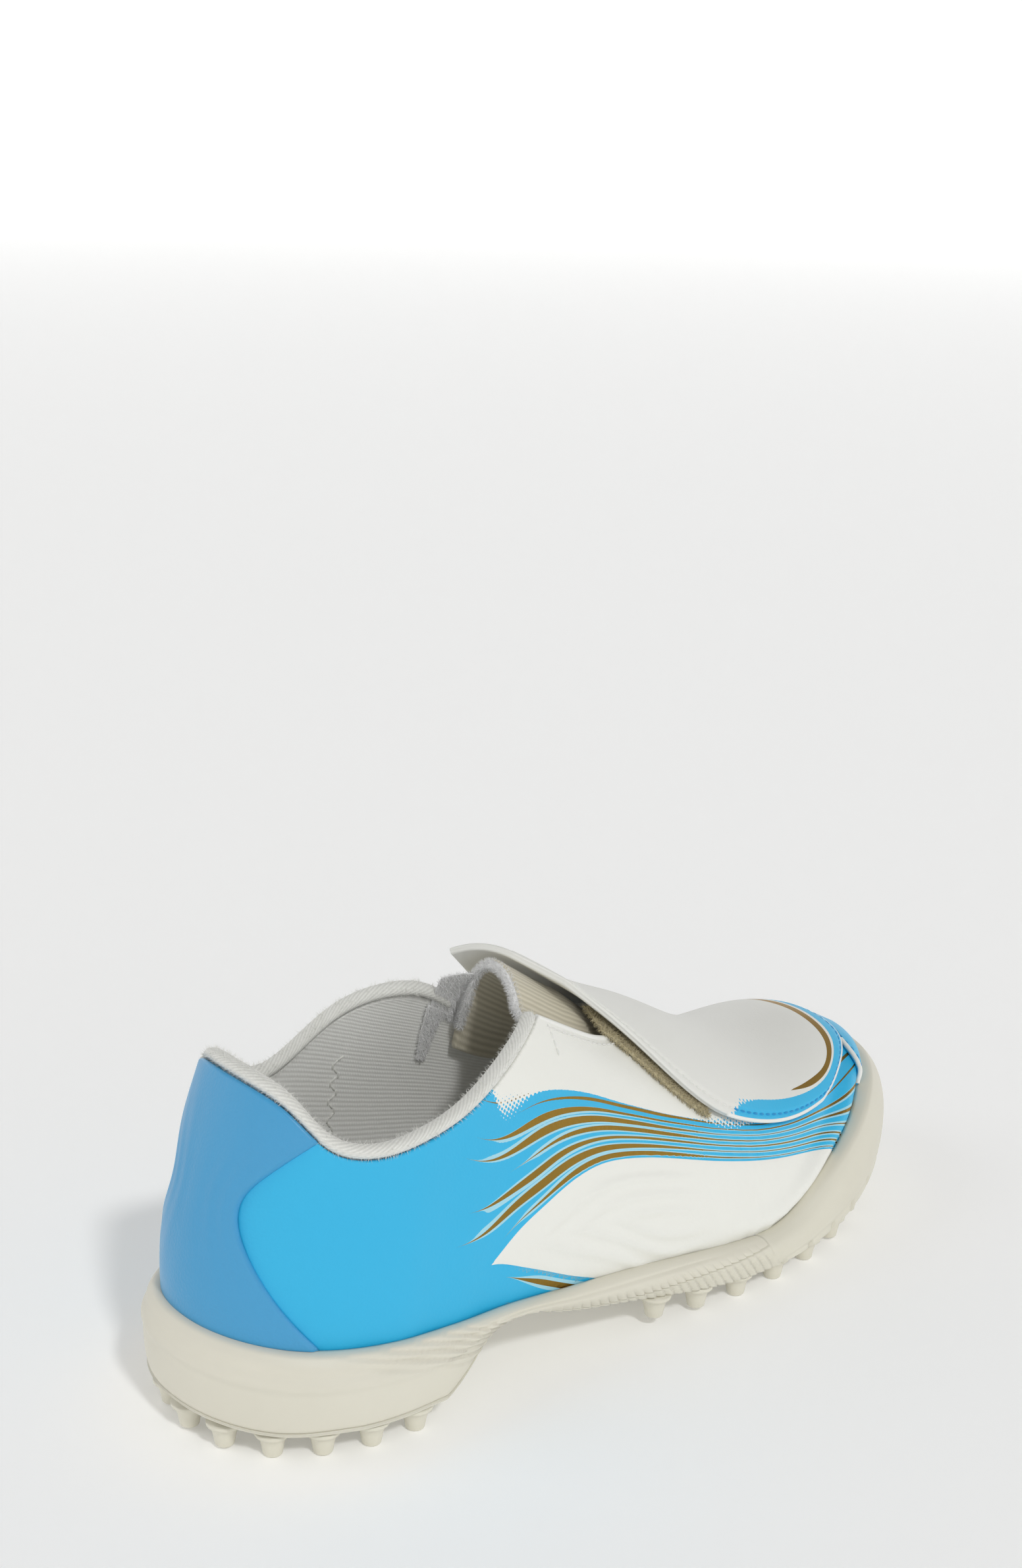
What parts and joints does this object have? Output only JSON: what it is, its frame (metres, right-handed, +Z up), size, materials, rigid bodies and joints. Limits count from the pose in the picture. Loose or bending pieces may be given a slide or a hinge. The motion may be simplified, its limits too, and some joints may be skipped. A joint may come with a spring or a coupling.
{
  "type": "junior turf football shoe",
  "caption": "Low-cut junior turf football shoe for the right foot, with a hollow upper, a sewn-down cover flap over the throat and a studded rubber sole.",
  "frame": {"origin": "on the floor under the middle of the sole's outline", "axes": "+X from heel to toe, +Y to the inner (medial) side of the foot, +Z up"},
  "size_m": [0.2002, 0.0742, 0.0804],
  "materials": {
    "sole_rubber": "satin cream rubber",
    "sole_foam": "satin cream moulded foam",
    "insole_foam": "matt grey woven top",
    "upper_synthetic": "satin off-white synthetic leather with blue panels",
    "collar_knit": "matt ribbed knit",
    "tongue_knit": "matt ribbed beige knit",
    "flap_synthetic": "satin off-white synthetic leather",
    "loop_pad": "fuzzy beige loop pile",
    "counter_synthetic": "satin blue synthetic leather",
    "toe_cap_synthetic": "satin sky-blue synthetic leather"
  },
  "bodies": {
    "root": {"outsole": "sole_rubber", "midsole": "sole_foam", "insole": "insole_foam", "upper": "upper_synthetic", "collar_band": "collar_knit", "tongue": "tongue_knit", "flap": "flap_synthetic", "fastener_pad": "loop_pad", "heel_counter": "counter_synthetic", "toe_cap": "toe_cap_synthetic"}
  },
  "joints": []
}
